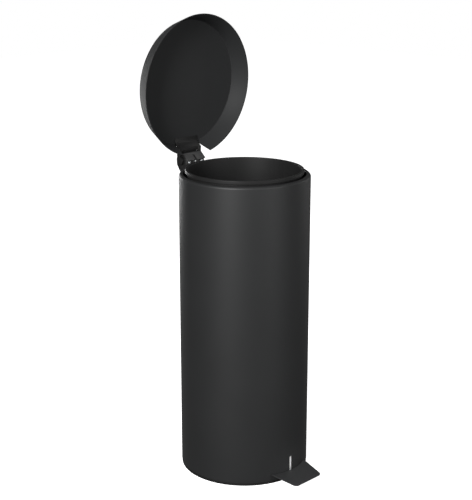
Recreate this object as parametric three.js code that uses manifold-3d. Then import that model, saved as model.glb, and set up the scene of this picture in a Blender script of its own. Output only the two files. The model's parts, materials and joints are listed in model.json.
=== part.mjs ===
// A round pedal bin: steel shell, lift-out bucket, hinged lid, and the pedal
// lever and push rod that open it. Millimetres, +Z up, front (pedal) at -Y.
// The origin is the centre of the rest face. The lid stands open and the pedal
// is down, which is the zero of every joint.
import * as THREE from 'three';
import { mergeVertices } from 'three/addons/utils/BufferGeometryUtils.js';
import Module from 'manifold-3d';

const wasm = await Module();
wasm.setup();

const GAP = 0.3;                    // space kept between pieces that touch
const ROUND = 56;                   // facets round the large turned pieces
const SMALL = 16;                   // facets round pins, screws and holes

// Shell
const SHELL_R = 125;
const SHELL_WALL = 1;
const SHELL_FOOT = 6;
const SHELL_TOP = 586.6;
const SHOULDER_R = 5;               // radius of the rolled shoulder
const MOUTH_R = 116;                // inner edge of the turned-in shoulder
const SHELL_BORE = SHELL_R - SHELL_WALL;

// Base
const FOOT_HEIGHT = 3;
const FLOOR_BOTTOM = FOOT_HEIGHT + GAP;
const FLOOR_TOP = 6.3;
const BASE_RIM_TOP = 22;
const STAND_R = 90;
const STAND_TOP = 60;

// Bucket
const BUCKET_TOP = 595.4;
const BUCKET_FOOT = STAND_TOP + GAP;
const BUCKET_R = 109;               // outside, under the lip
const BUCKET_FOOT_R = 99;
const BUCKET_WALL = 1.5;
const LIP_R = 112.5;
const LIP_DROP = 6.9;

// Lid, measured with the lid closed
const LID_RIM_R = 137.25;
const LID_TOP_R = 123.5;
const LID_RIM_Z = 575;
const LID_TOP_Z = 609;
const LID_SHEET = 1.1;
const NOTCH_HALF = 37;              // half the hinge notch's width, at the rim
const NOTCH_HALF_TOP = 30;          // and at the top disc

// Hinge
const HINGE_Y = 147.5;
const HINGE_Z = 592.9;
const LID_OPEN = 86.8;              // degrees
const HINGE_PIN_R = 3;
const BARREL_R = 14.4;              // the round top of the hinge block
const BLOCK_HALF = 24;
const SLOT_HALF = 3.1;              // half the slot that the crank works in
const CRANK_HALF = 2.7;             // crank and rod head lie side by side in the slot
const ARM_INNER = 24.5;
const ARM_OUTER = 29.4;
const PIN_HALF = 27.4;              // the pin ends inside the arms

// Push rod
const ROD_Y = 117;
const ROD_R = 2.5;
const CRANK_Y = 139.5;              // the rod head's stub pin
const STROKE = 15.13;
const CRANK_TOP = HINGE_Z + STROKE / 2;
const ROD_TOP = CRANK_TOP - 24;
const STUB_R = 1.7;

// Pedal lever
const FULCRUM_Y = 26;
const FULCRUM_Z = 26;
const FOOT_Z = FULCRUM_Z + STROKE / 2;
const LEVER_HALF = 1.5;
const PEDAL_FRONT = -172.5;
const PEDAL_FRONT_Z = 10.7;
const PEDAL_SLOPE = 0.17;
const PEDAL_HALF = 36.9;
const PEDAL_FLARE = 0.19;
const PEDAL_SHEET = 1.8;
const PEDAL_GAP_R = SHELL_R + 2.3;  // the plate's inner edge follows the shell
const SLOT_TOP = 45.4;
const PEDAL_SLOT_HALF = 3;

const pedalTop = (y) => PEDAL_FRONT_Z + PEDAL_SLOPE * (y - PEDAL_FRONT);

// ---- shapes ---------------------------------------------------------------

function asSolid(geometry) {
  const bare = geometry.clone();
  bare.deleteAttribute('normal');
  bare.deleteAttribute('uv');
  const merged = mergeVertices(bare, 1e-4);
  const corners = merged.index.array;
  const kept = [];
  for (let i = 0; i < corners.length; i += 3) {
    const [a, b, c] = [corners[i], corners[i + 1], corners[i + 2]];
    if (a !== b && b !== c && c !== a) kept.push(a, b, c);
  }
  return new wasm.Manifold(new wasm.Mesh({
    numProp: 3,
    vertProperties: new Float32Array(merged.attributes.position.array),
    triVerts: new Uint32Array(kept),
  }));
}

function asGeometry(solid) {
  const { vertProperties, triVerts } = solid.getMesh();
  const geometry = new THREE.BufferGeometry();
  geometry.setAttribute('position', new THREE.BufferAttribute(new Float32Array(vertProperties), 3));
  geometry.setIndex(new THREE.BufferAttribute(new Uint32Array(triVerts), 1));
  geometry.computeVertexNormals();
  return geometry;
}

// A profile of [radius, height] points turned about Z.
function turned(points, facets = ROUND) {
  const profile = points.map(([r, z]) => new THREE.Vector2(r, z));
  return asSolid(new THREE.LatheGeometry(profile, facets).rotateX(Math.PI / 2));
}

// A closed ring profile, listed anticlockwise seen with the axis on the left.
const ringTurned = (points, facets = ROUND) => turned([...points, points[0]], facets);

function box(x0, x1, y0, y1, z0, z1) {
  const geometry = new THREE.BoxGeometry(x1 - x0, y1 - y0, z1 - z0);
  return asSolid(geometry.translate((x0 + x1) / 2, (y0 + y1) / 2, (z0 + z1) / 2));
}

// An outline in the YZ plane, extruded along X from x0 to x1.
function sidePlate(shape, x0, x1, facets = 8) {
  const geometry = new THREE.ExtrudeGeometry(shape, {
    depth: x1 - x0, bevelEnabled: false, curveSegments: facets,
  });
  const toSide = new THREE.Matrix4().makeBasis(
    new THREE.Vector3(0, 1, 0), new THREE.Vector3(0, 0, 1), new THREE.Vector3(1, 0, 0));
  return asSolid(geometry.applyMatrix4(toSide).translate(x0, 0, 0));
}

// An outline in the XY plane, extruded along Z from z0 to z1.
function flatPlate(shape, z0, z1, facets = 8) {
  const geometry = new THREE.ExtrudeGeometry(shape, {
    depth: z1 - z0, bevelEnabled: false, curveSegments: facets,
  });
  return asSolid(geometry.translate(0, 0, z0));
}

function outline(points) {
  return new THREE.Shape(points.map(([a, b]) => new THREE.Vector2(a, b)));
}

// Cylinders along each axis.
function rodX(r, x0, x1, y, z, facets = SMALL) {
  const geometry = new THREE.CylinderGeometry(r, r, x1 - x0, facets).rotateZ(Math.PI / 2);
  return asSolid(geometry.translate((x0 + x1) / 2, y, z));
}

function rodY(r, y0, y1, x, z, facets = SMALL) {
  const geometry = new THREE.CylinderGeometry(r, r, y1 - y0, facets);
  return asSolid(geometry.translate(x, (y0 + y1) / 2, z));
}

function rodZ(r, z0, z1, x, y, facets = SMALL) {
  const geometry = new THREE.CylinderGeometry(r, r, z1 - z0, facets).rotateX(Math.PI / 2);
  return asSolid(geometry.translate(x, y, (z0 + z1) / 2));
}

function shellCylinder(r, z0, z1) {
  return turned([[0, z0], [r, z0], [r, z1], [0, z1]]);
}

// ---- finishes -------------------------------------------------------------

const finish = (color, roughness, metalness) => ({ color, roughness, metalness });
const POWDER_COAT = finish(0x2e2f2f, 0.5, 0.2);
const BUCKET_PLASTIC = finish(0x232323, 0.55, 0);
const BLACK_PLASTIC = finish(0x1c1c1c, 0.5, 0);
const HINGE_STEEL = finish(0x3a3a3a, 0.45, 0.6);
const ZINC = finish(0xb4b6b8, 0.3, 0.9);
const NYLON = finish(0xf0f0ec, 0.5, 0);
const RUBBER = finish(0x101010, 0.9, 0);

const bin = new THREE.Group();
const lid = new THREE.Group();
lid.position.set(0, HINGE_Y, HINGE_Z);
lid.rotation.x = -THREE.MathUtils.degToRad(LID_OPEN);
bin.add(lid);

function add(name, solid, look, group = bin) {
  const mesh = new THREE.Mesh(asGeometry(solid), new THREE.MeshStandardMaterial(look));
  mesh.name = name;
  group.add(mesh);
}

// Lid pieces are drawn where they stand with the lid closed, then hung on the hinge.
const addToLid = (name, solid, look) =>
  add(name, solid.translate([0, -HINGE_Y, -HINGE_Z]), look, lid);

const sides = [['left', -1], ['right', 1]];

// ---- shell and base -------------------------------------------------------

const GUIDE_HEIGHTS = { lower: 150, upper: 500 };
const GUIDE_EAR = 12;               // the guide rivets' distance from the middle
const RIVET_R = 1.8;
const BOLT_X = 16;
const BOLT_Z = 574;
const BOLT_R = 2;

function bodyShell() {
  const turns = 5;
  const shoulder = [];
  const hem = [];
  for (let i = 0; i <= turns; i += 1) {
    const a = (i / turns) * Math.PI / 2;
    const [c, s] = [Math.cos(a), Math.sin(a)];
    const [middleR, middleZ] = [SHELL_R - SHOULDER_R, SHELL_TOP - SHOULDER_R];
    shoulder.push([middleR + SHOULDER_R * c, middleZ + SHOULDER_R * s]);
    hem.unshift([middleR + (SHOULDER_R - SHELL_WALL) * c, middleZ + (SHOULDER_R - SHELL_WALL) * s]);
  }
  let shell = ringTurned([
    [SHELL_BORE, SHELL_FOOT], [SHELL_R, SHELL_FOOT],
    ...shoulder,
    [MOUTH_R, SHELL_TOP], [MOUTH_R, SHELL_TOP - 5],
    [MOUTH_R + SHELL_WALL, SHELL_TOP - 5], [MOUTH_R + SHELL_WALL, SHELL_TOP - SHELL_WALL],
    ...hem,
  ]);
  const slotEnd = SLOT_TOP - PEDAL_SLOT_HALF;
  const pedalSlot = box(-PEDAL_SLOT_HALF, PEDAL_SLOT_HALF, -SHELL_R - 2, -SHELL_R + 5,
    SHELL_FOOT - 1, slotEnd).add(
    rodY(PEDAL_SLOT_HALF, -SHELL_R - 2, -SHELL_R + 5, 0, slotEnd));
  shell = shell.subtract(pedalSlot);
  shell = shell.subtract(box(-SLOT_HALF, SLOT_HALF, 110, 130, 562, 600));
  for (const x of [-BOLT_X, BOLT_X]) shell = shell.subtract(rodY(BOLT_R + GAP, 115, 130, x, BOLT_Z));
  for (const z of Object.values(GUIDE_HEIGHTS)) {
    for (const x of [-GUIDE_EAR, GUIDE_EAR]) shell = shell.subtract(rodY(RIVET_R + GAP, 115, 130, x, z));
  }
  return shell;
}

const BRACKET_SCREW_X = 15;
const STAND_SCREW_R = 80;
const STAND_SCREW_ANGLES = [40, 140, 220, 320];   // degrees round from +X
const SCREW_R = 1.7;

function standScrewPlace(degrees) {
  const a = THREE.MathUtils.degToRad(degrees);
  return [STAND_SCREW_R * Math.cos(a), STAND_SCREW_R * Math.sin(a)];
}

function baseMoulding() {
  const rimR = SHELL_BORE - 0.4;
  let base = turned([
    [0, FLOOR_BOTTOM], [SHELL_R - 0.4, FLOOR_BOTTOM], [SHELL_R - 0.4, SHELL_FOOT - GAP],
    [rimR, SHELL_FOOT - GAP], [rimR, BASE_RIM_TOP], [rimR - 2.4, BASE_RIM_TOP],
    [rimR - 2.4, FLOOR_TOP], [0, FLOOR_TOP],
  ]);
  base = base.subtract(box(-11, 11, -rimR - 3, -rimR + 10, FLOOR_TOP, BASE_RIM_TOP + 1));
  base = base.subtract(box(-9, 9, rimR - 10, rimR + 3, FLOOR_TOP, BASE_RIM_TOP + 1));
  for (const x of [-BRACKET_SCREW_X, BRACKET_SCREW_X]) {
    base = base.subtract(rodZ(SCREW_R + GAP, 4.3, 10, x, FULCRUM_Y));
  }
  for (const degrees of STAND_SCREW_ANGLES) {
    const [x, y] = standScrewPlace(degrees);
    base = base.subtract(rodZ(SCREW_R + GAP, 0, 10, x, y));
  }
  return base;
}

// The flat foot that the bin stands on.
function baseFoot() {
  const [edge, chamfer] = [SHELL_R - 0.4, 0.6];
  return turned([[0, 0], [edge - chamfer, 0], [edge, chamfer], [edge, FOOT_HEIGHT], [0, FOOT_HEIGHT]]);
}

// The bucket stands on this cover, which keeps it clear of the lever.
function bucketStand() {
  const foot = FLOOR_TOP + GAP;
  let stand = ringTurned([
    [72, foot], [STAND_R, foot], [STAND_R, STAND_TOP], [28, STAND_TOP], [28, STAND_TOP - 2.5],
    [STAND_R - 2.5, STAND_TOP - 2.5], [STAND_R - 2.5, foot + 3], [72, foot + 3],
  ]);
  stand = stand.subtract(box(-10, 10, -STAND_R - 5, -60, 0, 52));
  stand = stand.subtract(box(-10, 10, 60, STAND_R + 5, 0, 52));
  for (const degrees of STAND_SCREW_ANGLES) {
    const [x, y] = standScrewPlace(degrees);
    stand = stand.subtract(rodZ(SCREW_R + GAP, 0, 12, x, y));
  }
  return stand;
}

// A pan-head screw along Z: its head at the end that headZ marks.
function screwZ(x, y, tipZ, seatZ, headZ) {
  const shank = rodZ(SCREW_R, Math.min(tipZ, seatZ), Math.max(tipZ, seatZ), x, y, 12);
  const [low, high] = [Math.min(seatZ, headZ), Math.max(seatZ, headZ)];
  return shank.add(rodZ(3.4, low, high, x, y, 16));
}

add('body_shell', bodyShell(), POWDER_COAT);
add('base_moulding', baseMoulding(), BLACK_PLASTIC);
add('base_foot', baseFoot(), RUBBER);
add('bucket_stand', bucketStand(), BLACK_PLASTIC);
STAND_SCREW_ANGLES.forEach((degrees, i) => {
  const [x, y] = standScrewPlace(degrees);
  const seat = FLOOR_TOP + GAP + 3 + GAP;
  add(`stand_screw_${i + 1}`, screwZ(x, y, 4, seat, seat + 2), ZINC);
});

// ---- pedal lever and its fulcrum ------------------------------------------

const EAR_INNER = 6.5;
const EAR_OUTER = 8.5;
const FULCRUM_PIN_R = 3;
const BUSH_R = 5.5;

function fulcrumBracket() {
  const seat = FLOOR_TOP + GAP;
  let bracket = box(-21, 21, FULCRUM_Y - 11, FULCRUM_Y + 11, seat, seat + 2);
  const ear = outline([[FULCRUM_Y - 11, seat], [FULCRUM_Y + 11, seat],
    [FULCRUM_Y + 7, FULCRUM_Z], [FULCRUM_Y - 7, FULCRUM_Z]]);
  for (const [x0, x1] of [[-EAR_OUTER, -EAR_INNER], [EAR_INNER, EAR_OUTER]]) {
    bracket = bracket.add(sidePlate(ear, x0, x1)).add(rodX(7, x0, x1, FULCRUM_Y, FULCRUM_Z));
  }
  bracket = bracket.subtract(rodX(FULCRUM_PIN_R + GAP, -30, 30, FULCRUM_Y, FULCRUM_Z));
  for (const x of [-BRACKET_SCREW_X, BRACKET_SCREW_X]) {
    bracket = bracket.subtract(rodZ(SCREW_R + GAP, 0, 20, x, FULCRUM_Y));
  }
  return bracket;
}

// A flat ring on a pin that runs along X.
function ringX(inner, outer, x0, x1, y, z) {
  return rodX(outer, x0, x1, y, z).subtract(rodX(inner, x0 - 1, x1 + 1, y, z));
}

function fulcrumPin() {
  const grip = 12;
  return rodX(FULCRUM_PIN_R, -grip, grip, FULCRUM_Y, FULCRUM_Z);
}

// The lever runs from under the pedal plate, over the fulcrum, to an eye that
// holds the push rod's foot pin. A ledge on it carries the plate.
const NOSE_Y = -167;
const THROAT_Y = -128.5;            // where the lever drops away from the plate
const NOSE_DEPTH = 2.5;
const WAIST_HALF = 9;               // half the lever's height at the fulcrum
const EYE_HALF = 4.6;
const EYE_PLAY = 1.1;               // how far the pin can slide along the eye
const PLATE_SEAT = 0.4;             // space between the lever and the plate
const LEDGE = { front: -163, back: -134, half: 11, depth: 1.8 };

function pedalLever() {
  const under = (y) => pedalTop(y) - PEDAL_SHEET - PLATE_SEAT;
  const [neck, end, corner] = [ROD_Y - 8, ROD_Y + 5.2, 2];
  const side = outline([
    [NOSE_Y, under(NOSE_Y)], [NOSE_Y, under(NOSE_Y) - NOSE_DEPTH], [-126, 7.4], [-100, 9.4],
    [FULCRUM_Y, FULCRUM_Z - WAIST_HALF], [neck, FOOT_Z - EYE_HALF], [end - corner, FOOT_Z - EYE_HALF],
    [end, FOOT_Z - EYE_HALF + corner], [end, FOOT_Z + EYE_HALF - corner],
    [end - corner, FOOT_Z + EYE_HALF], [neck, FOOT_Z + EYE_HALF], [FULCRUM_Y, FULCRUM_Z + WAIST_HALF],
    [-112, 18.6], [THROAT_Y, under(THROAT_Y)],
  ]);
  const ledge = outline([
    [LEDGE.front, under(LEDGE.front)], [LEDGE.front, under(LEDGE.front) - LEDGE.depth],
    [LEDGE.back, under(LEDGE.back) - LEDGE.depth], [LEDGE.back, under(LEDGE.back)],
  ]);
  const eyeR = STUB_R + GAP;
  const eye = box(-9, 9, ROD_Y - EYE_PLAY, ROD_Y + EYE_PLAY, FOOT_Z - eyeR, FOOT_Z + eyeR)
    .add(rodX(eyeR, -9, 9, ROD_Y - EYE_PLAY, FOOT_Z))
    .add(rodX(eyeR, -9, 9, ROD_Y + EYE_PLAY, FOOT_Z));
  return sidePlate(side, -LEVER_HALF, LEVER_HALF)
    .add(sidePlate(ledge, -LEDGE.half, LEDGE.half))
    .subtract(rodX(BUSH_R + GAP, -9, 9, FULCRUM_Y, FULCRUM_Z))
    .subtract(eye)
    .subtract(shieldRivetHole());
}

function pedalPlate() {
  const corner = 9;
  const half = (y) => PEDAL_HALF + PEDAL_FLARE * (y - PEDAL_FRONT);
  const back = -105;
  const plan = new THREE.Shape();
  plan.moveTo(-half(back), back);
  plan.lineTo(-half(PEDAL_FRONT + corner), PEDAL_FRONT + corner);
  plan.quadraticCurveTo(-PEDAL_HALF, PEDAL_FRONT, -PEDAL_HALF + corner, PEDAL_FRONT);
  plan.lineTo(PEDAL_HALF - corner, PEDAL_FRONT);
  plan.quadraticCurveTo(PEDAL_HALF, PEDAL_FRONT, half(PEDAL_FRONT + corner), PEDAL_FRONT + corner);
  plan.lineTo(half(back), back);
  const column = flatPlate(plan, -20, 60, 6);
  const sheet = sidePlate(outline([
    [PEDAL_FRONT - 5, pedalTop(PEDAL_FRONT - 5)], [PEDAL_FRONT - 5, pedalTop(PEDAL_FRONT - 5) - PEDAL_SHEET],
    [back, pedalTop(back) - PEDAL_SHEET], [back, pedalTop(back)],
  ]), -80, 80);
  return column.intersect(sheet).subtract(shellCylinder(PEDAL_GAP_R, -30, 80));
}

// The white plate behind the pedal slot rides on the lever and hides the opening.
// A tab on its back is riveted to the lever's side.
const SHIELD_Y = -121.8;
const SHIELD_HALF = 8;
const SHIELD_FOOT = 12;
const SHIELD_TOP = 48;
const SHIELD_NOTCH_TOP = 19.2;      // the lever passes through the plate below this
const TAB_INNER = LEVER_HALF + GAP;
const TAB_OUTER = TAB_INNER + 2;
const SHIELD_RIVET = { r: 1.4, headR: 2.6, y: SHIELD_Y + 7, z: 13 };

function slotShield() {
  return box(-SHIELD_HALF, SHIELD_HALF, SHIELD_Y - 1, SHIELD_Y + 1, SHIELD_FOOT, SHIELD_TOP)
    .add(box(TAB_INNER, TAB_OUTER, SHIELD_Y, SHIELD_Y + 11, 8.4, 17))
    .subtract(box(-TAB_INNER, TAB_INNER, SHIELD_Y - 9, SHIELD_Y + 5, 5, SHIELD_NOTCH_TOP))
    .subtract(shieldRivetHole());
}

function shieldRivetHole() {
  const reach = TAB_OUTER + 1;
  return rodX(SHIELD_RIVET.r + GAP, -reach, reach, SHIELD_RIVET.y, SHIELD_RIVET.z, 12);
}

function shieldRivet() {
  const { r, headR, y, z } = SHIELD_RIVET;
  const [left, right] = [-TAB_INNER, TAB_OUTER + GAP];
  return rodX(r, left, right, y, z, 12)
    .add(rodX(headR, left - 1, left, y, z, 12))
    .add(rodX(headR, right, right + 1, y, z, 12));
}

add('fulcrum_bracket', fulcrumBracket(), HINGE_STEEL);
add('fulcrum_pin', fulcrumPin(), ZINC);
for (const [side, s] of sides) {
  const clip = [s * (EAR_OUTER + GAP), s * (EAR_OUTER + GAP + 1)].sort((a, b) => a - b);
  add(`fulcrum_clip_${side}`,
    ringX(FULCRUM_PIN_R + GAP, 5.6, clip[0], clip[1], FULCRUM_Y, FULCRUM_Z), ZINC);
  const seat = FLOOR_TOP + GAP + 2 + GAP;
  add(`bracket_screw_${side}`, screwZ(s * BRACKET_SCREW_X, FULCRUM_Y, 4.6, seat, seat + 2.2), ZINC);
}
add('pedal_lever', pedalLever(), ZINC);
add('lever_bush',
  ringX(FULCRUM_PIN_R + GAP, BUSH_R, -EAR_INNER + GAP, EAR_INNER - GAP, FULCRUM_Y, FULCRUM_Z), NYLON);
add('pedal_plate', pedalPlate(), POWDER_COAT);
add('slot_shield', slotShield(), NYLON);
add('shield_rivet', shieldRivet(), ZINC);
add('front_stop_pad', box(-6, 6, -96, -84, FLOOR_TOP + GAP, 9), RUBBER);
add('rear_stop_pad', box(-6, 6, 96, 108, FLOOR_TOP + GAP, 14.4), RUBBER);

// ---- push rod -------------------------------------------------------------

function rodFoot() {
  const half = 4.4;
  const ear = outline([[ROD_Y - half, FOOT_Z - 4], [ROD_Y + half, FOOT_Z - 4],
    [ROD_Y + half, FOOT_Z + 20], [ROD_Y - half, FOOT_Z + 20]]);
  let foot = sidePlate(ear, -5, 5);
  foot = foot.subtract(box(-2, 2, ROD_Y - 9, ROD_Y + 9, FOOT_Z - 9, FOOT_Z + 8));
  foot = foot.subtract(rodX(STUB_R + GAP, -9, 9, ROD_Y, FOOT_Z));
  return foot.subtract(rodZ(ROD_R + GAP, FOOT_Z + 11, FOOT_Z + 30, 0, ROD_Y));
}

function rodFootPin() {
  return rodX(STUB_R, -6, 6, ROD_Y, FOOT_Z);
}

// The head is a flat bar that leans out over the shell's rear notch. A stub pin
// at its end works the crank, and a rivet goes through the boss at its elbow.
const ELBOW_Y = 132.2;
const ELBOW_Z = CRANK_TOP - 9.7;
const ELBOW_RIVET_R = 2.4;
const ELBOW_BOSS_R = 4;
const SOCKET_HALF = 4;
const SOCKET_FOOT = CRANK_TOP - 38;
const SOCKET_TOP = CRANK_TOP - 20.5;

function rodHead() {
  const top = CRANK_TOP;
  const [near, far] = [ROD_Y - 3.7, ROD_Y + 3.7];
  const web = outline([
    [near, top - 22], [far, top - 22], [far + 3, top - 14.5], [CRANK_Y - 8.5, top - 11],
    [CRANK_Y - 2, top - 4.5], [CRANK_Y + 2, top - 2.8], [CRANK_Y + 2.8, top], [CRANK_Y + 2, top + 1.6],
    [CRANK_Y - 1.6, top + 0.6], [CRANK_Y - 3, top - 0.4], [CRANK_Y - 8.5, top - 6], [near + 5, top - 9.6],
    [near, top - 12],
  ]);
  return box(-SOCKET_HALF, SOCKET_HALF, near, far, SOCKET_FOOT, SOCKET_TOP)
    .add(sidePlate(web, -CRANK_HALF, -GAP))
    .add(rodX(STUB_R, -1, CRANK_HALF, CRANK_Y, top))
    .add(rodX(ELBOW_BOSS_R, -CRANK_HALF, -GAP, ELBOW_Y, ELBOW_Z))
    .subtract(rodX(ELBOW_RIVET_R + GAP, -9, 9, ELBOW_Y, ELBOW_Z))
    .subtract(rodZ(ROD_R + GAP, SOCKET_FOOT - 2, ROD_TOP + GAP, 0, ROD_Y));
}

function rodGuide(z) {
  const block = box(-GUIDE_EAR - 5, GUIDE_EAR + 5, 113.5, 125, z - 6, z + 6);
  let guide = block.intersect(shellCylinder(SHELL_BORE - 0.4, z - 10, z + 10));
  guide = guide.subtract(rodZ(ROD_R + 0.4, z - 10, z + 10, 0, ROD_Y));
  for (const x of [-GUIDE_EAR, GUIDE_EAR]) {
    guide = guide.subtract(rodY(RIVET_R + GAP, 115.5, 130, x, z));
  }
  return guide;
}

function guideRivet(x, z) {
  const face = Math.sqrt(SHELL_R ** 2 - (Math.abs(x) - 3.4) ** 2) + GAP;
  return rodY(RIVET_R, 116, face + 0.5, x, z, 12).add(rodY(3.4, face, face + 1.2, x, z, 16));
}

add('push_rod', rodZ(ROD_R, FOOT_Z + 11 + GAP, ROD_TOP, 0, ROD_Y), ZINC);
add('rod_foot', rodFoot(), BLACK_PLASTIC);
add('rod_foot_pin', rodFootPin(), ZINC);
add('rod_head', rodHead(), HINGE_STEEL);
add('elbow_rivet', rodX(ELBOW_RIVET_R, -CRANK_HALF, CRANK_HALF, ELBOW_Y, ELBOW_Z), ZINC);
for (const [place, z] of Object.entries(GUIDE_HEIGHTS)) {
  add(`rod_guide_${place}`, rodGuide(z), BLACK_PLASTIC);
  for (const [side, s] of sides) {
    add(`guide_rivet_${place}_${side}`, guideRivet(s * GUIDE_EAR, z), POWDER_COAT);
  }
}

// ---- hinge ----------------------------------------------------------------

const COVER_TOP = [143.2, 606.9];   // the sloped cover's upper and lower edges, [y, z]
const COVER_LOW = [130, 594.6];
const COVER_SHEET = 1.2;
const TAB_Y = 134;                  // front of the tab that the cover is screwed on by
const TAB_FOOT = SHELL_TOP + 0.5;
const COVER_SCREW_X = 16.5;
const COVER_SCREW_Z = 589.9;
const BLOCK_FOOT = 556;
const BLOCK_SLOT_FLOOR = 568;
const SLOT_END = 0.3;               // how far down the cover its slot begins

// A point on the cover's slope: 0 at its top, 1 at its lower edge, and set in by depth.
function onSlope(t, depth) {
  const [dy, dz] = [COVER_LOW[0] - COVER_TOP[0], COVER_LOW[1] - COVER_TOP[1]];
  const length = Math.hypot(dy, dz);
  return [COVER_TOP[0] + t * dy - (dz / length) * depth, COVER_TOP[1] + t * dz + (dy / length) * depth];
}

// How far down the slope the given y lies, counted as onSlope counts it.
const slopeAt = (y) => (y - COVER_TOP[0]) / (COVER_LOW[0] - COVER_TOP[0]);

// The block carries the hinge pin in a round barrel. Its front is cut back for the
// sloped cover, and a slot lets the crank and the rod head move inside it.
const BLOCK_NOSE = 115;             // the block's front, before the shell's curve is cut from it
const BARREL_START = -0.16;         // the barrel's round runs between these angles, radians
const BARREL_END = 1.9;

function hingeBlock() {
  const [inside, above] = [100, 620];
  const side = new THREE.Shape();
  side.moveTo(BLOCK_NOSE, BLOCK_FOOT);
  side.lineTo(142.7, BLOCK_FOOT);
  side.lineTo(152.7, 570.9);
  side.lineTo(161.2, 583.3);
  side.absarc(HINGE_Y, HINGE_Z, BARREL_R, BARREL_START, BARREL_END, false);
  side.lineTo(BLOCK_NOSE, 606);
  const seat = COVER_SHEET + GAP;
  const tabBack = TAB_Y + seat;
  const front = outline([
    onSlope(0, seat), onSlope(slopeAt(tabBack), seat), [tabBack, TAB_FOOT - GAP],
    [inside, TAB_FOOT - GAP], [inside, above], [onSlope(0, seat)[0], above],
  ]);
  const slot = outline([
    [inside, BLOCK_SLOT_FLOOR], [150, BLOCK_SLOT_FLOOR], [HINGE_Y, HINGE_Z], onSlope(SLOT_END, seat),
    onSlope(SLOT_END, -3), [inside, COVER_TOP[1]],
  ]);
  let block = sidePlate(side, -BLOCK_HALF, BLOCK_HALF)
    .subtract(shellCylinder(SHELL_R + 0.4, BLOCK_FOOT - 50, above))
    .subtract(sidePlate(front, -BLOCK_HALF - 1, BLOCK_HALF + 1))
    .subtract(sidePlate(slot, -SLOT_HALF, SLOT_HALF))
    .subtract(rodX(BARREL_R - 1.1, -SLOT_HALF, SLOT_HALF, HINGE_Y, HINGE_Z, 32))
    .subtract(rodX(HINGE_PIN_R + GAP, -40, 40, HINGE_Y, HINGE_Z));
  for (const s of [-1, 1]) {
    block = block.subtract(rodY(BOLT_R + GAP, 110, 136, s * BOLT_X, BOLT_Z));
    block = block.subtract(rodY(SCREW_R + GAP, 120, 142, s * COVER_SCREW_X, COVER_SCREW_Z));
  }
  return block;
}

// A pressed cover: a slope over the block's front, and a tab set back under its
// lower edge, with one slot through both.
function hingeCover() {
  const tabBack = TAB_Y + COVER_SHEET;
  const cover = outline([
    onSlope(0, 0), onSlope(1, 0), onSlope(1, COVER_SHEET), onSlope(slopeAt(TAB_Y), COVER_SHEET),
    [TAB_Y, TAB_FOOT], [tabBack, TAB_FOOT], onSlope(slopeAt(tabBack), COVER_SHEET),
    onSlope(0, COVER_SHEET),
  ]);
  const slot = outline([
    onSlope(SLOT_END, -3), onSlope(SLOT_END, 5), [140, TAB_FOOT - 1], [120, TAB_FOOT - 1], [120, 600],
  ]);
  let blank = sidePlate(cover, -BLOCK_HALF, BLOCK_HALF);
  blank = blank.subtract(sidePlate(slot, -SLOT_HALF, SLOT_HALF));
  for (const s of [-1, 1]) {
    blank = blank.subtract(rodY(SCREW_R + GAP, 120, 150, s * COVER_SCREW_X, COVER_SCREW_Z));
  }
  return blank;
}

function coverScrew(x) {
  const seat = TAB_Y - GAP;
  return rodY(SCREW_R, seat - 0.5, 141, x, COVER_SCREW_Z, 12)
    .add(rodY(COVER_SCREW_HEAD_R, seat - 2.2, seat, x, COVER_SCREW_Z, 16));
}

const BOLT_HEAD_R = 3.6;
const WASHER_R = 5;
const COVER_SCREW_HEAD_R = 2.9;

function hingeBolt(x) {
  const seat = 120.4;
  return rodY(BOLT_R, seat - 0.5, 135, x, BOLT_Z, 12)
    .add(rodY(BOLT_HEAD_R, seat - 2.6, seat, x, BOLT_Z, 6));
}

function boltWasher(x) {
  return rodY(WASHER_R, 120.7, 121.7, x, BOLT_Z, 16).subtract(rodY(BOLT_R + GAP, 119, 126, x, BOLT_Z, 12));
}

add('hinge_block', hingeBlock(), BLACK_PLASTIC);
add('hinge_cover', hingeCover(), HINGE_STEEL);
for (const [side, s] of sides) {
  add(`cover_screw_${side}`, coverScrew(s * COVER_SCREW_X), ZINC);
  add(`hinge_bolt_${side}`, hingeBolt(s * BOLT_X), ZINC);
  add(`bolt_washer_${side}`, boltWasher(s * BOLT_X), ZINC);
}

// ---- lid ------------------------------------------------------------------

function lidCap() {
  const t = LID_SHEET;
  const bend = 2.2;
  let cap = turned([
    [0, LID_TOP_Z - t], [LID_TOP_R - t - 0.6, LID_TOP_Z - t], [LID_TOP_R - 0.2, LID_TOP_Z - bend - t],
    [LID_RIM_R - t, LID_RIM_Z], [LID_RIM_R, LID_RIM_Z],
    [LID_TOP_R + 0.9, LID_TOP_Z - bend], [LID_TOP_R - 0.2, LID_TOP_Z - 0.6], [LID_TOP_R - 1.6, LID_TOP_Z],
    [0, LID_TOP_Z],
  ]);
  const notch = outline([
    [-NOTCH_HALF, LID_RIM_Z - 2], [NOTCH_HALF, LID_RIM_Z - 2],
    [NOTCH_HALF_TOP, LID_TOP_Z - 3.4], [-NOTCH_HALF_TOP, LID_TOP_Z - 3.4],
  ]);
  const cutter = new THREE.ExtrudeGeometry(notch, { depth: 40, bevelEnabled: false });
  cap = cap.subtract(asSolid(cutter.rotateX(Math.PI / 2).translate(0, 145, 0)));
  return cap;
}

// A point given from the hinge axis, with the lid closed: [behind it, above it].
const fromHinge = (points) => points.map(([u, n]) => [HINGE_Y + u, HINGE_Z + n]);

// The bracket hangs under the disc. A web slants down from it to a bridge that
// rides just outside the barrel, and an arm at each end holds the hinge pin.
const ARM_EYE_R = 7.5;
const BARREL_SPACE = 0.8;           // between the barrel and the bridge that rides round it

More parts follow.
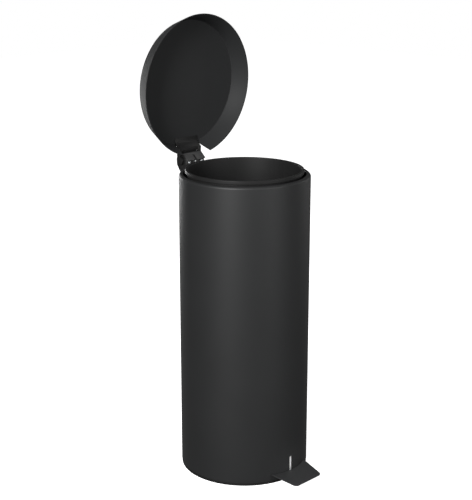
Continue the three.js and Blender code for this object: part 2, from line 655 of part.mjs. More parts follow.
function lidBracket() {
  const top = LID_TOP_Z - LID_SHEET - GAP - HINGE_Z;
  const web = fromHinge([
    [-41.5, top - 1], [-35.5, top - 1], [-20, 5.5], [-10, 5.5], [-10, 8], [-20, 8], [-29.5, 11.2],
    [-33, top], [-41.5, top],
  ]);
  const swept = rodX(BARREL_R + BARREL_SPACE, -ARM_INNER, ARM_INNER, HINGE_Y, HINGE_Z, 48);
  const bridge = fromHinge([[-22, 5.5], [-5, 5.5], [-5, 11.4], [-22, 11.4]]);
  let bracket = sidePlate(outline(web), -ARM_OUTER, ARM_OUTER)
    .add(sidePlate(outline(bridge), -ARM_INNER, ARM_INNER))
    .subtract(swept);
  const arm = outline(fromHinge([
    [-33, top - 1], [-25, 5.8], [-22, 1.5], [0, 1.5], [0, 7.4], [-12, 8], [-20, 8], [-29.5, 11.2],
  ]));
  for (const [x0, x1] of [[-ARM_OUTER, -ARM_INNER], [ARM_INNER, ARM_OUTER]]) {
    bracket = bracket.add(sidePlate(arm, x0, x1)).add(rodX(ARM_EYE_R, x0, x1, HINGE_Y, HINGE_Z, 24));
  }
  const bore = PIN_HALF + GAP;
  return bracket.subtract(rodX(HINGE_PIN_R + GAP, -bore, bore, HINGE_Y, HINGE_Z));
}

// The crank is fixed on the pin inside the block and turns with the lid. Its open
// fork takes the rod head's stub pin.
const FORK = { reach: 11.1, half: 4.5, mouthHalf: 2.7, mouthEnd: 5.3, hubR: 4.9 };

function lidCrank() {
  const { reach, half, mouthHalf, mouthEnd, hubR } = FORK;
  const fork = outline([[-reach, -half], [0, -half], [0, half], [-reach, half]]);
  const mouth = outline([
    [-reach - 2, -mouthHalf], [-mouthEnd - 1, -mouthHalf], [-mouthEnd, 0], [-mouthEnd - 1, mouthHalf],
    [-reach - 2, mouthHalf],
  ]);
  const arm = sidePlate(fork, GAP, CRANK_HALF).subtract(sidePlate(mouth, 0, CRANK_HALF + 1));
  return arm.rotate([LID_OPEN / 2, 0, 0]).translate([0, HINGE_Y, HINGE_Z])
    .add(rodX(hubR, GAP, CRANK_HALF, HINGE_Y, HINGE_Z))
    .subtract(rodX(HINGE_PIN_R + GAP, -10, 10, HINGE_Y, HINGE_Z));
}

addToLid('lid_cap', lidCap(), POWDER_COAT);
addToLid('lid_bracket', lidBracket(), BLACK_PLASTIC);
addToLid('lid_crank', lidCrank(), HINGE_STEEL);
addToLid('hinge_pin', rodX(HINGE_PIN_R, -PIN_HALF, PIN_HALF, HINGE_Y, HINGE_Z), ZINC);

// ---- bucket ---------------------------------------------------------------

function innerBucket() {
  const w = BUCKET_WALL;
  const lipTop = BUCKET_TOP;
  return turned([
    [0, BUCKET_FOOT], [BUCKET_FOOT_R - 4, BUCKET_FOOT], [BUCKET_FOOT_R, BUCKET_FOOT + 4],
    [BUCKET_R, lipTop - 12], [BUCKET_R, lipTop - w - 1], [LIP_R - w, lipTop - w - 1],
    [LIP_R - w, lipTop - LIP_DROP], [LIP_R, lipTop - LIP_DROP], [LIP_R, lipTop - 1.2],
    [LIP_R - 0.6, lipTop - 0.3], [LIP_R - 1.5, lipTop], [BUCKET_R - 0.4, lipTop],
    [BUCKET_R - w, lipTop - 1.4], [BUCKET_R - w, lipTop - 12],
    [BUCKET_FOOT_R - w, BUCKET_FOOT + 5], [BUCKET_FOOT_R - 5, BUCKET_FOOT + w + 0.5],
    [0, BUCKET_FOOT + w + 0.5],
  ]);
}

add('inner_bucket', innerBucket(), BUCKET_PLASTIC);

export default bin;
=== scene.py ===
# %% [markdown]
# # A round pedal bin, step by step
# The bin is a powder-coated steel tube with a lift-out bucket, a pressed lid on a rear hinge, and a
# pedal that works the lid through a lever and a rod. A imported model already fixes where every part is
# and how it moves, so the work here is the fine surface: each part is rebuilt as a smooth mesh in the
# same place, given its finish, and tied to the body that it moves with. Everything is in metres.

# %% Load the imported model
import json
import math

import bmesh
import bpy
from mathutils import Matrix, Vector


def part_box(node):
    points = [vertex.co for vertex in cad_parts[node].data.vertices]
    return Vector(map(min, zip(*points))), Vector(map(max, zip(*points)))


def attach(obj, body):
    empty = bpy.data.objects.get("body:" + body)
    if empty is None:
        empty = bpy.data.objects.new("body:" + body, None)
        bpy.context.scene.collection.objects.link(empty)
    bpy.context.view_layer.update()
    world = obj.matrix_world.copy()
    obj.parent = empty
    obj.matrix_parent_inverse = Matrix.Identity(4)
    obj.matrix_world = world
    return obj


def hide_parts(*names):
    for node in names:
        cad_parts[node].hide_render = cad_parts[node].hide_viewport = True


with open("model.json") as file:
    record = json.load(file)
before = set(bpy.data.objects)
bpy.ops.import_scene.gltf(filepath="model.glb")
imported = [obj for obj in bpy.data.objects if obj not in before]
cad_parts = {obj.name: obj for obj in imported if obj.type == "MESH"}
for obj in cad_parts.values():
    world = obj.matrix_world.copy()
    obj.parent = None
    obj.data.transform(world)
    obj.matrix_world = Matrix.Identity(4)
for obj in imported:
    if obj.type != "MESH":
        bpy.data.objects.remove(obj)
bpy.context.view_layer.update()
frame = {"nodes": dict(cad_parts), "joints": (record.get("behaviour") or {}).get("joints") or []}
MM = 0.001

# %% [markdown]
# ## The camera
# A long lens from a little above and to the left keeps the sides of the tall tube nearly upright. The
# camera could be aimed with a constraint, but three plain numbers, the place, the turn and the tilt,
# say the same thing and stay put. The Standard view transform shows a black finish as dark as it is.

# %% Place the camera
EYE = Vector((-1.6103, -1.5405, 1.0622))
TURN = math.radians(-45.846)
TILT = math.radians(90 - 15.705)
LENS = 86.79

scene = bpy.context.scene
camera = bpy.data.objects.new("camera", bpy.data.cameras.new("camera"))
camera.location = EYE
camera.rotation_euler = (TILT, 0, TURN)
camera.data.lens = LENS
camera.data.sensor_width = 36
camera.data.clip_end = 50
scene.collection.objects.link(camera)
scene.camera = camera
scene.view_settings.view_transform = "Standard"
print("camera", [round(v, 3) for v in EYE], "lens", LENS)

# %% [markdown]
# ## Floor and light
# Black objects are drawn by what they reflect, so the light is soft and comes from large panels: a key
# on the left of the camera lays the broad sheen down the tube, two panels draw its left and right
# edges, and a weak fill and a weaker top panel keep the rest readable. A narrow spot reaches the white
# shield deep in the pedal slot. The surroundings are white to look at but give little light, or the
# black coat would turn grey. The floor is a plain pale sheet.

# %% Light the studio
def look_at(place, target):
    return (Vector(target) - Vector(place)).to_track_quat("-Z", "Y").to_euler()


def soft_panel(name, place, target, width, height, watts):
    """A rectangular light, sizes in metres, that the camera itself does not see."""
    light = bpy.data.lights.new(name, "AREA")
    light.shape = "RECTANGLE"
    light.size, light.size_y, light.energy = width, height, watts
    panel = bpy.data.objects.new(name, light)
    panel.location = place
    panel.rotation_euler = look_at(place, target)
    panel.visible_camera = False
    scene.collection.objects.link(panel)


MIDDLE = (0, 0, 0.45)
UPPER = (0, 0, 0.6)
LOWER = (0, 0, 0.3)
PEDAL_SLOT = (0, -0.125, 0.031)
soft_panel("key_panel", (-2.9, -0.94, 1.8), MIDDLE, 0.8, 2.0, 150)
soft_panel("left_edge_panel", (0.8, 2.5, 0.45), LOWER, 1.1, 0.8, 24)
soft_panel("right_edge_panel", (2.5, -0.5, 0.8), MIDDLE, 0.7, 1.6, 6)
soft_panel("fill_panel", (0.1, -2.7, 1.1), MIDDLE, 1.4, 1.6, 30)
soft_panel("top_panel", (0.2, -0.4, 3.0), UPPER, 2.0, 2.0, 5)

slot_spot = bpy.data.lights.new("slot_spot", "SPOT")
slot_spot.energy = 22
slot_spot.spot_size = math.radians(4.5)
slot_spot.spot_blend = 1.0
slot_spot.shadow_soft_size = 0.03
spot = bpy.data.objects.new("slot_spot", slot_spot)
spot.location = (-0.6, -0.8, 0.1)
spot.rotation_euler = look_at(spot.location, PEDAL_SLOT)
scene.collection.objects.link(spot)

world = bpy.data.worlds.new("studio")
scene.world = world
world.use_nodes = True
world_nodes, world_links = world.node_tree.nodes, world.node_tree.links
backdrop = world_nodes["Background"]
seen = world_nodes.new("ShaderNodeLightPath")
level = world_nodes.new("ShaderNodeMapRange")
ROOM_LIGHT = 0.12
level.inputs["To Min"].default_value = ROOM_LIGHT
level.inputs["To Max"].default_value = 1.0
world_links.new(seen.outputs["Is Camera Ray"], level.inputs["Value"])
world_links.new(level.outputs["Result"], backdrop.inputs["Strength"])
backdrop.inputs["Color"].default_value = (1, 1, 1, 1)

FLOOR_HALF = 6.0
floor_mesh = bpy.data.meshes.new("floor")
floor_mesh.from_pydata(
    [(x * FLOOR_HALF, y * FLOOR_HALF, 0) for x, y in ((-1, -1), (1, -1), (1, 1), (-1, 1))],
    [], [(0, 1, 2, 3)])
floor = bpy.data.objects.new("floor", floor_mesh)
floor.visible_diffuse = False
floor.visible_glossy = False
scene.collection.objects.link(floor)

# %% [markdown]
# ## A small language for finishes
# A finish is a graph of nodes, but it reads better as sums: `1 - mask`, `grain * 0.3`. One class wraps
# a socket, so that ordinary operators add Math nodes, and one method adds every other node.

# %% Write node graphs as expressions
class Wire:
    """A number or a colour on its way through a finish."""

    def __init__(self, finish, socket):
        self.finish, self.socket = finish, socket

    def maths(self, operation, first, second):
        return self.finish.add("ShaderNodeMath", {"operation": operation}, {0: first, 1: second})

    def __add__(self, other):
        return self.maths("ADD", self, other)

    def __sub__(self, other):
        return self.maths("SUBTRACT", self, other)

    def __rsub__(self, other):
        return self.maths("SUBTRACT", other, self)

    def __mul__(self, other):
        return self.maths("MULTIPLY", self, other)

    __radd__, __rmul__ = __add__, __mul__

    def above(self, low, high):
        """0 below low, 1 above high, smooth between."""
        return self.finish.add("ShaderNodeMapRange", {"interpolation_type": "SMOOTHSTEP"},
                               {"Value": self, "From Min": low, "From Max": high})


class Finish:
    """A material under construction."""

    def __init__(self, name, **constants):
        self.material = bpy.data.materials.new(name)
        self.material.use_nodes = True
        self.tree = self.material.node_tree
        self.shader = self.tree.nodes["Principled BSDF"]
        for socket, value in constants.items():
            self.shader.inputs[socket.replace("_", " ")].default_value = value

    def add(self, kind, settings=None, values=None, output=0):
        node = self.tree.nodes.new(kind)
        for key, value in (settings or {}).items():
            setattr(node, key, value)
        for key, value in (values or {}).items():
            self.feed(node.inputs[key], value)
        return Wire(self, node.outputs[output])

    def feed(self, socket, value):
        if isinstance(value, Wire):
            self.tree.links.new(value.socket, socket)
        else:
            socket.default_value = value

    def set(self, **wires):
        for socket, wire in wires.items():
            self.feed(self.shader.inputs[socket.replace("_", " ")], wire)

    def place(self):
        """Where a point is on its own part, in metres; it stays with the part when that moves."""
        return self.add("ShaderNodeTexCoord", output="Object")

    def height(self):
        return self.add("ShaderNodeSeparateXYZ", values={0: self.place()}, output="Z")

    def noise(self, per_metre, detail, stretch=None):
        where = self.place()
        if stretch:
            where = self.add("ShaderNodeVectorMath", {"operation": "MULTIPLY"},
                             {0: where, 1: stretch})
        return self.add("ShaderNodeTexNoise",
                        values={"Vector": where, "Scale": per_metre, "Detail": detail})

    def cells(self, per_metre):
        return self.add("ShaderNodeTexVoronoi", values={"Vector": self.place(), "Scale": per_metre})

    def blend(self, factor, first, second):
        mixed = self.tree.nodes.new("ShaderNodeMix")
        mixed.data_type = "RGBA"
        for place, value in ((0, factor), (6, first), (7, second)):
            self.feed(mixed.inputs[place], value)
        return Wire(self, mixed.outputs[2])

    def bump(self, height, depth, strength):
        normal = self.add("ShaderNodeBump",
                          values={"Height": height, "Distance": depth, "Strength": strength})
        self.set(Normal=normal)


def grey(level, warmth=0.0):
    return (level * (1 + warmth), level, level * (1 - warmth), 1)


print("finish helpers ready")

# %% [markdown]
# ## Powder coat
# The tube, the lid and the pedal are sprayed with dry powder and baked. The coat is black, flows
# together into a skin with a very fine orange peel, and scatters a broad soft sheen. The peel is
# noise and fine cells in the bump; the roughness drifts slowly, as handled paint does; and the coat
# wears thin and smooth first on the rolled shoulder. The lid's inside is duller than the tube, and
# the lid's coat is mixed a little lighter than the tube's: painted light on the lid's inside.

# %% Mix the powder coat
def powder_coat(name, tone, rough, sheen, worn_edge=None):
    """worn_edge is (height, reach) of an edge whose coat is rubbed, within reach above and below."""
    coat = Finish(name, IOR=1.45, Specular_IOR_Level=sheen)
    drift = coat.noise(9, 3)
    peel = coat.noise(900, 2)
    grain = coat.cells(1700)
    colour = coat.blend(drift, grey(tone * 0.92, -0.02), grey(tone * 1.08, -0.03))
    roughness = rough + drift * 0.07
    if worn_edge:
        height, reach = worn_edge
        z = coat.height()
        near = z.above(height - reach, height) - z.above(height, height + reach)
        worn = near * coat.noise(60, 3).above(0.42, 0.7)
        colour = coat.blend(worn * 0.1, colour, grey(0.05))
        roughness = roughness - worn * 0.03
    coat.set(Base_Color=colour, Roughness=roughness)
    coat.bump(peel * 0.7 + grain * 0.3, 0.00006, 0.5)
    return coat.material


shell_low, shell_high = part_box("body_shell")
shoulder_edge = (shell_high.z - 0.0025, 0.0035)
BODY_COAT = powder_coat("body_coat", 0.0165, 0.47, 0.42, worn_edge=shoulder_edge)
# painted light: the lid's coat is a lighter tone than the tube's coat of the same powder, standing in
# for light on the lid's inside
LID_COAT_WITH_PAINTED_LIGHT = powder_coat("lid_coat_with_painted_light", 0.023, 0.52, 0.15)
PEDAL_COAT = powder_coat("pedal_coat", 0.027, 0.47, 0.42)
print("coats:", BODY_COAT.name, LID_COAT_WITH_PAINTED_LIGHT.name, PEDAL_COAT.name)

# %% [markdown]
# ## Moulded plastics and rubber
# The bucket is injection moulded in a satin tool, so it is about as dull as the coat, with faint
# upright flow lines. The hinge block and the parts inside come from a spark-eroded tool that leaves an
# even grain. The white shield is nylon. Rubber is the dullest of them.

# %% Mix the plastics
def moulded(name, tone, roughness, grain_size, depth, warmth=0.0, flow=0.0, sheen=0.3):
    plastic = Finish(name, IOR=1.49, Specular_IOR_Level=sheen)
    cloud = plastic.noise(25, 3)
    grain = plastic.noise(1 / grain_size, 2)
    lines = plastic.noise(40, 2, stretch=(6, 6, 0.15))
    plastic.set(Base_Color=plastic.blend(cloud, grey(tone * 0.9, warmth), grey(tone * 1.1, warmth)),
                Roughness=roughness + (cloud - 0.5) * 0.08 + (lines - 0.5) * flow)
    plastic.bump(grain + lines * (flow * 2), depth, 0.6)
    return plastic.material


BUCKET = moulded("bucket_satin", 0.0125, 0.52, 0.0009, 0.00004, flow=0.25, sheen=0.2)
GRAINED = moulded("grained_black", 0.009, 0.55, 0.0006, 0.00004)
NYLON = moulded("white_nylon", 0.86, 0.42, 0.0015, 0.00003, warmth=0.01)
RUBBER = moulded("black_rubber", 0.009, 0.82, 0.0012, 0.0001)
print("plastics:", BUCKET.name, GRAINED.name, NYLON.name, RUBBER.name)

# %% [markdown]
# ## Steel
# The lever, rod, screws and pins are zinc plated: bright, slightly blue, with cloudy patches. The hinge
# cover and the fulcrum bracket are dark coated steel, whose coat is thinner than the body's and shows
# its metal. The crank and the rod's head work in the slot and are dark with oil.

# %% Mix the metals
def plated(name, tone, roughness, metallic=1.0, tint=-0.02):
    metal = Finish(name, Metallic=metallic)
    cloud = metal.noise(160, 4)
    brush = metal.noise(500, 3, stretch=(1, 1, 0.08))
    metal.set(Base_Color=metal.blend(cloud, grey(tone * 0.86, tint), grey(tone * 1.08, tint)),
              Roughness=roughness + (brush - 0.5) * 0.18)
    metal.bump(brush, 0.00002, 0.4)
    return metal.material


ZINC = plated("zinc_plate", 0.86, 0.42)
DARK_STEEL = plated("dark_coated_steel", 0.075, 0.5, metallic=0.5, tint=0.0)
OILED_STEEL = plated("oiled_steel", 0.02, 0.62, metallic=0.3, tint=0.0)
print("metals:", ZINC.name, DARK_STEEL.name, OILED_STEEL.name)

# %% [markdown]
# ## Helpers for the meshes
# Most parts are turned or pressed. A turned part is a profile spun about an axis; a plate is an outline
# pushed along one; holes are cut with boolean modifiers that are applied at once. Sharp edges are then
# rounded with a narrow bevel, because a real edge always catches a thin line of light.

# %% Make shapes
TURNS = 160


def new_part(name, mesh_builder):
    part = bpy.data.objects.new(name, bpy.data.meshes.new(name))
    scene.collection.objects.link(part)
    mesh_builder.normal_update()
    mesh_builder.to_mesh(part.data)
    mesh_builder.free()
    return part


def arc(middle, radius, start, end, steps):
    """Points along an arc, with its angles in degrees."""
    angles = [math.radians(start + (end - start) * i / steps) for i in range(steps + 1)]
    return [(middle[0] + radius * math.cos(a), middle[1] + radius * math.sin(a)) for a in angles]


def turned(name, profile, turns=TURNS):
    """A closed profile of (radius, height) points spun about Z. A point on the axis stays one vertex."""
    build = bmesh.new()
    rings = []
    for radius, height in profile:
        if radius < 1e-6:
            rings.append([build.verts.new((0, 0, height))])
        else:
            rings.append([build.verts.new((radius * math.cos(a), radius * math.sin(a), height))
                          for a in (2 * math.pi * i / turns for i in range(turns))])
    for first, second in zip(rings, rings[1:] + rings[:1]):
        if len(first) == 1 and len(second) == 1:
            continue
        for i in range(turns):
            k = (i + 1) % turns
            corners = [first[0]] if len(first) == 1 else [first[i], first[k]]
            corners += [second[0]] if len(second) == 1 else [second[k], second[i]]
            build.faces.new(corners)
    bmesh.ops.recalc_face_normals(build, faces=build.faces)
    return new_part(name, build)


ALONG = {"X": Matrix(((0, 0, 1), (1, 0, 0), (0, 1, 0))).to_4x4(),
         "Y": Matrix(((1, 0, 0), (0, 0, 1), (0, -1, 0))).to_4x4(),
         "Z": Matrix.Identity(4)}


def plate(name, outline, low, high, along):
    """An outline pushed from low to high.

    Its points are (y, z) when it goes along X, (x, -z) along Y and (x, y) along Z.
    """
    build = bmesh.new()
    bottom = [build.verts.new((a, b, low)) for a, b in outline]
    top = [build.verts.new((a, b, high)) for a, b in outline]
    build.faces.new(bottom[::-1])
    build.faces.new(top)
    for i in range(len(outline)):
        k = (i + 1) % len(outline)
        build.faces.new((bottom[i], bottom[k], top[k], top[i]))
    build.transform(ALONG[along])
    bmesh.ops.recalc_face_normals(build, faces=build.faces)
    return new_part(name, build)


def block(low, high):
    outline = [(low[0], low[1]), (high[0], low[1]), (high[0], high[1]), (low[0], high[1])]
    return plate("cutter", outline, low[2], high[2], "Z")


def bar(radius, start, end, along, at, turns):
    """A round bar. at is its place across the axis, in the order of plate's outline points."""
    return plate("cutter", arc(at, radius, 0, 360 - 360 / turns, turns - 1), start, end, along)


def apply_modifier(part, kind, **settings):
    modifier = part.modifiers.new(kind, kind)
    for key, value in settings.items():
        setattr(modifier, key, value)
    with bpy.context.temp_override(object=part, active_object=part, selected_objects=[part]):
        bpy.ops.object.modifier_apply(modifier=modifier.name)


def combine(part, others, operation):
    for other in others:
        apply_modifier(part, "BOOLEAN", operation=operation, object=other, solver="EXACT")
        bpy.data.objects.remove(other)
    return part


def cut(part, *cutters):
    return combine(part, cutters, "DIFFERENCE")


FLAT = math.radians(0.5)
SHARP = math.radians(32)


def merge_flat(part):
    """Joins triangles that lie in one plane, so that a bevel meets whole faces."""
    build = bmesh.new()
    build.from_mesh(part.data)
    bmesh.ops.remove_doubles(build, verts=build.verts, dist=1e-6)
    bmesh.ops.dissolve_limit(build, angle_limit=FLAT, verts=build.verts, edges=build.edges)
    build.to_mesh(part.data)
    build.free()


def round_edges(part, width, steps=2):
    merge_flat(part)
    apply_modifier(part, "BEVEL", width=width, segments=steps, limit_method="ANGLE",
                   angle_limit=SHARP, harden_normals=False)
    return part


def finish_part(part, body, material, node, crease=34):
    """Shades a part smooth up to a crease angle, gives it its finish and ties it to its body."""
    part.data.shade_smooth()
    part.data.set_sharp_from_angle(angle=math.radians(crease))
    part.data.materials.clear()
    part.data.materials.append(material)
    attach(part, body)
    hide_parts(node)
    return part


def turn_part(part, matrix):
    part.data.transform(matrix)
    return part


def middle_of(node):
    low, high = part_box(node)
    return (low + high) / 2


print("shape helpers ready")

# %% [markdown]
# ## The body tube
# A sheet is rolled into a tube and seamed, and its mouth is rolled inwards over a round shoulder and
# down into a short hem, which makes the edge stiff and safe. The profile is spun, then the pedal slot,
# the hinge notch and the holes for rivets and bolts are cut.

# %% Roll the body
joints = {joint["name"]: joint for joint in frame["joints"]}
hinge = Vector(joints["lid_hinge"]["pos_m"])
BODY_R = shell_high.x
SHEET = 1.0 * MM
SHOULDER = 5.0 * MM
MOUTH_R = 116 * MM
HEM = 5.0 * MM
HEM_BEND = 1.2 * MM
FOOT_CHAMFER = 0.4 * MM
PLAIN_TURNS = 192                   # sides round the large plain tubes


def body_profile():
    top, foot = shell_high.z, shell_low.z
    bend = (BODY_R - SHOULDER, top - SHOULDER)
    lip = (MOUTH_R + HEM_BEND, top - HEM_BEND)
    outside = [(BODY_R, foot + FOOT_CHAMFER)] + arc(bend, SHOULDER, 0, 90, 12)
    outside += arc(lip, HEM_BEND, 90, 180, 6)
    inside = [(MOUTH_R, top - HEM), (MOUTH_R + SHEET, top - HEM),
              (MOUTH_R + SHEET, top - SHEET - 0.6 * MM)]
    inside += arc(bend, SHOULDER - SHEET, 90, 0, 10)
    return outside + inside + [(BODY_R - SHEET, foot), (BODY_R - FOOT_CHAMFER, foot)]


shell = turned("body_shell_fine", body_profile(), turns=PLAIN_TURNS)
SLOT_HALF = 3 * MM
SLOT_TOP = 45.4 * MM
NOTCH = ((-3.1 * MM, 0.110, 0.562), (3.1 * MM, 0.135, 0.600))   # low and high corners of the cut
BOLT_HOLE = 2.3 * MM
RIVET_HOLE = 2.1 * MM
slot_outline = arc((0, -(SLOT_TOP - SLOT_HALF)), SLOT_HALF, 180, 360, 12)
slot_outline += [(SLOT_HALF, -shell_low.z + 2 * MM), (-SLOT_HALF, -shell_low.z + 2 * MM)]
cut(shell, plate("cutter", slot_outline, -BODY_R - 0.01, -BODY_R + 0.01, "Y"), block(*NOTCH))
holes = [(f"hinge_bolt_{side}", BOLT_HOLE) for side in ("left", "right")]
holes += [(f"guide_rivet_{level}_{side}", RIVET_HOLE)
          for level in ("lower", "upper") for side in ("left", "right")]
for node, radius in holes:
    at = middle_of(node)
    cut(shell, bar(radius, 0.11, 0.13, "Y", (at.x, -at.z), 24))
finish_part(shell, "body", BODY_COAT, "body_shell", crease=40)
print("body", len(shell.data.polygons), "faces")

# %% [markdown]
# ## The lid
# The lid is one pressing: a flat top, a tight bend, and a skirt that flares so that the lid drops
# over the body. Its rim is rolled inwards. A notch at the back lets the hinge through. It is drawn
# closed, about the body's axis, and then swung open about the hinge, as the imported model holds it.

# %% Press the lid
LID_OPEN = math.radians(joints["lid_hinge"]["range_deg"][1])
turn_open = Matrix.Rotation(-LID_OPEN, 4, "X")
swing_open = Matrix.Translation(hinge) @ turn_open @ Matrix.Translation(-hinge)
RIM_R, RIM_Z = 137.25 * MM, 575 * MM
TOP_R, TOP_Z = 123.5 * MM, 609 * MM
LID_SHEET = 1.1 * MM
LID_BEND = 2.6 * MM
LID_HEM = 0.9 * MM


def lid_profile():
    slope = math.degrees(math.atan2(TOP_Z - RIM_Z, RIM_R - TOP_R))
    centre = (TOP_R - LID_BEND + 0.1 * MM, TOP_Z - LID_BEND)
    rim = (RIM_R - LID_HEM, RIM_Z + LID_HEM)
    outside = arc(centre, LID_BEND, 90, 90 - slope, 8)[::-1]
    inside = arc(centre, LID_BEND - LID_SHEET, 90 - slope, 90, 8)
    rolled = arc(rim, LID_HEM, -200 + slope, 90 - slope - 45, 12)
    return [(0, TOP_Z - LID_SHEET)] + inside[::-1] + rolled + outside + [(0, TOP_Z)]


lid = turned("lid_cap_fine", lid_profile(), turns=PLAIN_TURNS)
NOTCH_HALF, NOTCH_HALF_TOP = 37 * MM, 30 * MM
notch_low, notch_high = -RIM_Z + 2 * MM, -TOP_Z + 3.4 * MM
notch_outline = [(-NOTCH_HALF, notch_low), (NOTCH_HALF, notch_low),
                 (NOTCH_HALF_TOP, notch_high), (-NOTCH_HALF_TOP, notch_high)]
cut(lid, plate("cutter", notch_outline, 0.100, 0.150, "Y"))
turn_part(lid, swing_open)
# the lid takes the coat with painted light, a lighter tone than the tube's
finish_part(lid, "lid", LID_COAT_WITH_PAINTED_LIGHT, "lid_cap", crease=40)
print("lid", len(lid.data.polygons), "faces")

# %% [markdown]
# ## The bucket
# The bucket is a tapered plastic tub with a turned-over lip to lift it by, and a shallow step in its
# floor. Spinning a profile gives the wall, the lip and the floor at once.

# %% Mould the bucket
bucket_low, bucket_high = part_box("inner_bucket")
LIP_R = bucket_high.x
WALL_R, FOOT_R = 109 * MM, 99 * MM
WALL = 1.5 * MM
LIP_ROLL = 1.5 * MM
LIP_DROP = 6.9 * MM
COLLAR = 12 * MM                    # the straight part of the wall under the lip
FOOT_BEND = 4 * MM
FLOOR_BEND = 5 * MM


def bucket_profile():
    top, foot = bucket_high.z, bucket_low.z
    crown = (LIP_R - LIP_ROLL, top - LIP_ROLL)
    inner = (WALL_R - WALL + LIP_ROLL, top - LIP_ROLL)
    outside = [(0, foot + 1 * MM), (FOOT_R - 14 * MM, foot + 1 * MM), (FOOT_R - 12 * MM, foot)]
    outside += arc((FOOT_R - FOOT_BEND, foot + FOOT_BEND), FOOT_BEND, 270, 357, 8)
    outside += [(WALL_R, top - COLLAR), (WALL_R, top - 3 * MM), (LIP_R - WALL, top - 3 * MM),
                (LIP_R - WALL, top - LIP_DROP + 0.3 * MM), (LIP_R - 1.1 * MM, top - LIP_DROP),
                (LIP_R - 0.4 * MM, top - LIP_DROP), (LIP_R, top - LIP_DROP + 0.4 * MM)]
    outside += arc(crown, LIP_ROLL, 0, 90, 8) + arc(inner, LIP_ROLL, 90, 180, 8)
    inside = [(WALL_R - WALL, top - COLLAR)]
    inside += arc((FOOT_R - WALL - FLOOR_BEND, foot + 7 * MM), FLOOR_BEND, -3, -90, 8)
    inside += [(60 * MM, foot + 2.2 * MM), (58 * MM, foot + 3 * MM), (0, foot + 3 * MM)]
    return outside + inside


bucket = turned("inner_bucket_fine", bucket_profile())
finish_part(bucket, "bucket", BUCKET, "inner_bucket", crease=40)
print("bucket", len(bucket.data.polygons), "faces")

# %% [markdown]
# ## The pedal
# The pedal plate is cut from sheet, its corners and edges are rounded, and its back edge follows the
# tube with a little room. It is welded to the lever, which is a flat bar on edge.

# %% Cut the pedal plate
FRONT_Y, FRONT_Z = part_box("pedal_plate")[0].y, 10.7 * MM
SLOPE = 0.17
PLATE = 1.8 * MM
FRONT_HALF, FLARE = 36.9 * MM, 0.19
CORNER = 9 * MM
ROOM_R = BODY_R + 2.3 * MM


def pedal_top(y):
    return FRONT_Z + SLOPE * (y - FRONT_Y)


def pedal_outline():
    """A tapered plan with two round front corners. It runs on under the tube, to be cut there."""
    lean = math.degrees(math.atan(FLARE))
    half_at = FRONT_HALF + FLARE * CORNER - CORNER / math.cos(math.radians(lean))
    right = arc((half_at, FRONT_Y + CORNER), CORNER, 270, 360 - lean, 10)
    left = [(-x, y) for x, y in right[::-1]]
    back = -0.105
    half_back = FRONT_HALF + FLARE * (back - FRONT_Y)
    return left + right + [(half_back, back), (-half_back, back)]


pedal = plate("pedal_plate_fine", pedal_outline(), -0.02, 0.06, "Z")
ahead, behind = FRONT_Y - 0.01, -0.10
sheet_side = [(ahead, pedal_top(ahead)), (ahead, pedal_top(ahead) - PLATE),
              (behind, pedal_top(behind) - PLATE), (behind, pedal_top(behind))]
combine(pedal, [plate("cutter", sheet_side, -0.08, 0.08, "X")], "INTERSECT")
cut(pedal, bar(ROOM_R, -0.05, 0.1, "Z", (0, 0), PLAIN_TURNS))
round_edges(pedal, 0.5 * MM, 3)
finish_part(pedal, "pedal", PEDAL_COAT, "pedal_plate")
print("pedal", len(pedal.data.polygons), "faces")

# %% [markdown]
# ## Small turned parts
# Screws, rivets, pins and snap rings are all turned from bar. Each one is spun about Z and laid along
# its own axis, and its size comes from the box of the part that it stands for.

# %% Turn the pins, rings, screws and rivets
def lay(part, node, along):
    """Moves a part that was drawn about Z, centred on the origin, to where its node is."""
    turn = {"X": Matrix.Rotation(math.pi / 2, 4, "Y"), "Y": Matrix.Rotation(-math.pi / 2, 4, "X"),
            "Z": Matrix.Identity(4)}[along]
    return turn_part(part, Matrix.Translation(middle_of(node)) @ turn)


def size_along(node, along):
    low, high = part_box(node)
    size = high - low
    axis = "XYZ".index(along)
    across = max(size[i] for i in range(3) if i != axis)
    return size[axis], across / 2


def pin(node, body, along="X"):
    length, radius = size_along(node, along)
    chamfer = radius * 0.22
    half = length / 2
    profile = [(0, -half), (radius - chamfer, -half), (radius, -half + chamfer),
               (radius, half - chamfer), (radius - chamfer, half), (0, half)]
    return finish_part(lay(turned(node + "_fine", profile, 48), node, along), body, ZINC, node)


def snap_ring(node, body, bore):
    length, radius = size_along(node, "X")
    half, edge = length / 2, length * 0.2
    profile = [(bore, -half), (radius - edge, -half), (radius, -half + edge), (radius, half - edge),
               (radius - edge, half), (bore, half)]
    ring = turned(node + "_fine", profile, 64)
    cut(ring, block((0, -radius * 0.22, -1 * length), (radius * 2, radius * 0.22, length)))
    return finish_part(lay(ring, node, "X"), body, ZINC, node)


SCREW_R = 1.7 * MM
RIVET_R = 1.8 * MM


def screw(node, body, along, head_high, head_end=1):
    """A pan-head screw with a cross recess. head_end is 1 if its head is at the high end of its box."""
    length, radius = size_along(node, along)
    half = length / 2
    seat = half - head_high
    dome = [(radius * math.cos(a), seat + head_high * (0.35 + 0.65 * math.sin(a)))
            for a in (math.pi / 2 * i / 7 for i in range(8))]
    profile = [(0, -half), (SCREW_R * 0.6, -half), (SCREW_R, -half + SCREW_R * 0.7), (SCREW_R, seat),
               (radius, seat)] + dome[:-1] + [(0, half)]
    part = turned(node + "_fine", profile, 40)
    wide, deep = radius * 0.62, half - head_high * 0.55
    for a, b in ((wide, radius * 0.13), (radius * 0.13, wide)):
        cut(part, block((-a, -b, deep), (a, b, half + 1 * MM)))
    if head_end < 0:
        turn_part(part, Matrix.Rotation(math.pi, 4, "X"))
    return finish_part(lay(part, node, along), body, ZINC, node)


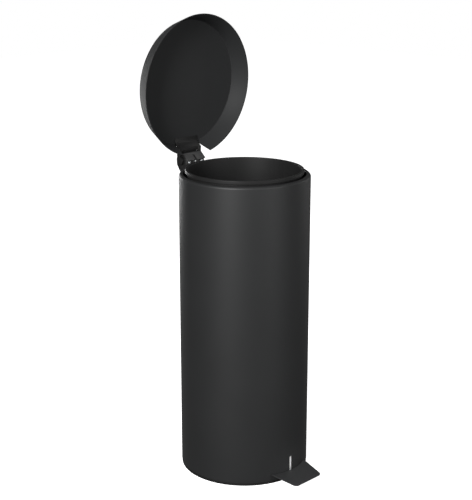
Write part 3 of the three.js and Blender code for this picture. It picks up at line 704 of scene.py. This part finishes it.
def body_rivet(node, head_high):
    """A round-headed rivet through the tube's back, sprayed with the tube."""
    length, radius = size_along(node, "Y")
    half = length / 2
    seat = half - head_high
    dome = [(radius * math.cos(a), seat + head_high * math.sin(a))
            for a in (math.pi / 2 * i / 8 for i in range(8))]
    profile = [(0, -half), (RIVET_R, -half), (RIVET_R, seat)] + dome + [(0, half)]
    part = lay(turned(node + "_fine", profile, 40), node, "Y")
    return finish_part(part, "body", BODY_COAT, node)


for node, body in (("fulcrum_pin", "body"), ("hinge_pin", "lid"), ("rod_foot_pin", "push_rod"),
                   ("elbow_rivet", "push_rod")):
    pin(node, body)
pin("push_rod", "push_rod", "Z")
for side in ("left", "right"):
    snap_ring(f"fulcrum_clip_{side}", "body", 3.3 * MM)
    screw(f"bracket_screw_{side}", "body", "Z", 2.2 * MM)
    screw(f"cover_screw_{side}", "body", "Y", 2.2 * MM, head_end=-1)
    for level in ("lower", "upper"):
        body_rivet(f"guide_rivet_{level}_{side}", 1.2 * MM)
for number in range(1, 5):
    screw(f"stand_screw_{number}", "body", "Z", 2 * MM)
print("turned parts made")

# %% [markdown]
# ## Parts with the right shape already
# The hinge block, brackets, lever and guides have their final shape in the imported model, but their
# edges are knife sharp. A copy of each is cleaned, its sharp edges are rounded, and it takes the
# original's place. The last number in each row is how wide the rounding is, in millimetres.

# %% Soften the cut and moulded parts
def softened(node, body, material, width):
    part = bpy.data.objects.new(node + "_fine", frame["nodes"][node].data.copy())
    scene.collection.objects.link(part)
    round_edges(part, width)
    return finish_part(part, body, material, node)


for node, body, slot, material, width in (
        ("hinge_block", "body", "black_plastic", GRAINED, 0.6),
        ("hinge_cover", "body", "hinge_steel", DARK_STEEL, 0.25),
        ("lid_bracket", "lid", "black_plastic", GRAINED, 0.4),
        ("lid_crank", "lid", "hinge_steel", OILED_STEEL, 0.3),
        ("fulcrum_bracket", "body", "hinge_steel", DARK_STEEL, 0.3),
        ("pedal_lever", "pedal", "zinc", ZINC, 0.3),
        ("slot_shield", "pedal", "nylon", NYLON, 0.3),
        ("lever_bush", "pedal", "nylon", NYLON, 0.3),
        ("shield_rivet", "pedal", "zinc", ZINC, 0.2),
        ("rod_head", "push_rod", "hinge_steel", OILED_STEEL, 0.3),
        ("rod_foot", "push_rod", "black_plastic", GRAINED, 0.4),
        ("rod_guide_lower", "body", "black_plastic", GRAINED, 0.5),
        ("rod_guide_upper", "body", "black_plastic", GRAINED, 0.5),
        ("bucket_stand", "body", "black_plastic", GRAINED, 0.5),
        ("base_moulding", "body", "black_plastic", GRAINED, 0.4),
        ("base_foot", "body", "rubber", RUBBER, 0.4),
        ("front_stop_pad", "body", "rubber", RUBBER, 0.4),
        ("rear_stop_pad", "body", "rubber", RUBBER, 0.2),
        ("hinge_bolt_left", "body", "zinc", ZINC, 0.3),
        ("hinge_bolt_right", "body", "zinc", ZINC, 0.3),
        ("bolt_washer_left", "body", "zinc", ZINC, 0.15),
        ("bolt_washer_right", "body", "zinc", ZINC, 0.15)):
    softened(node, body, material, width * MM)

# %% [markdown]
# The floor is matt and pale.

# %% Finish the floor
paper = Finish("floor_paper", Roughness=0.9, Specular_IOR_Level=0.1, Emission_Strength=1.0)
fleck = paper.noise(30, 3)
paper.set(Base_Color=paper.blend(fleck, grey(0.93), grey(0.95)),
          Emission_Color=paper.blend(fleck, grey(0.98), grey(1.0)))
floor_mesh.materials.append(paper.material)
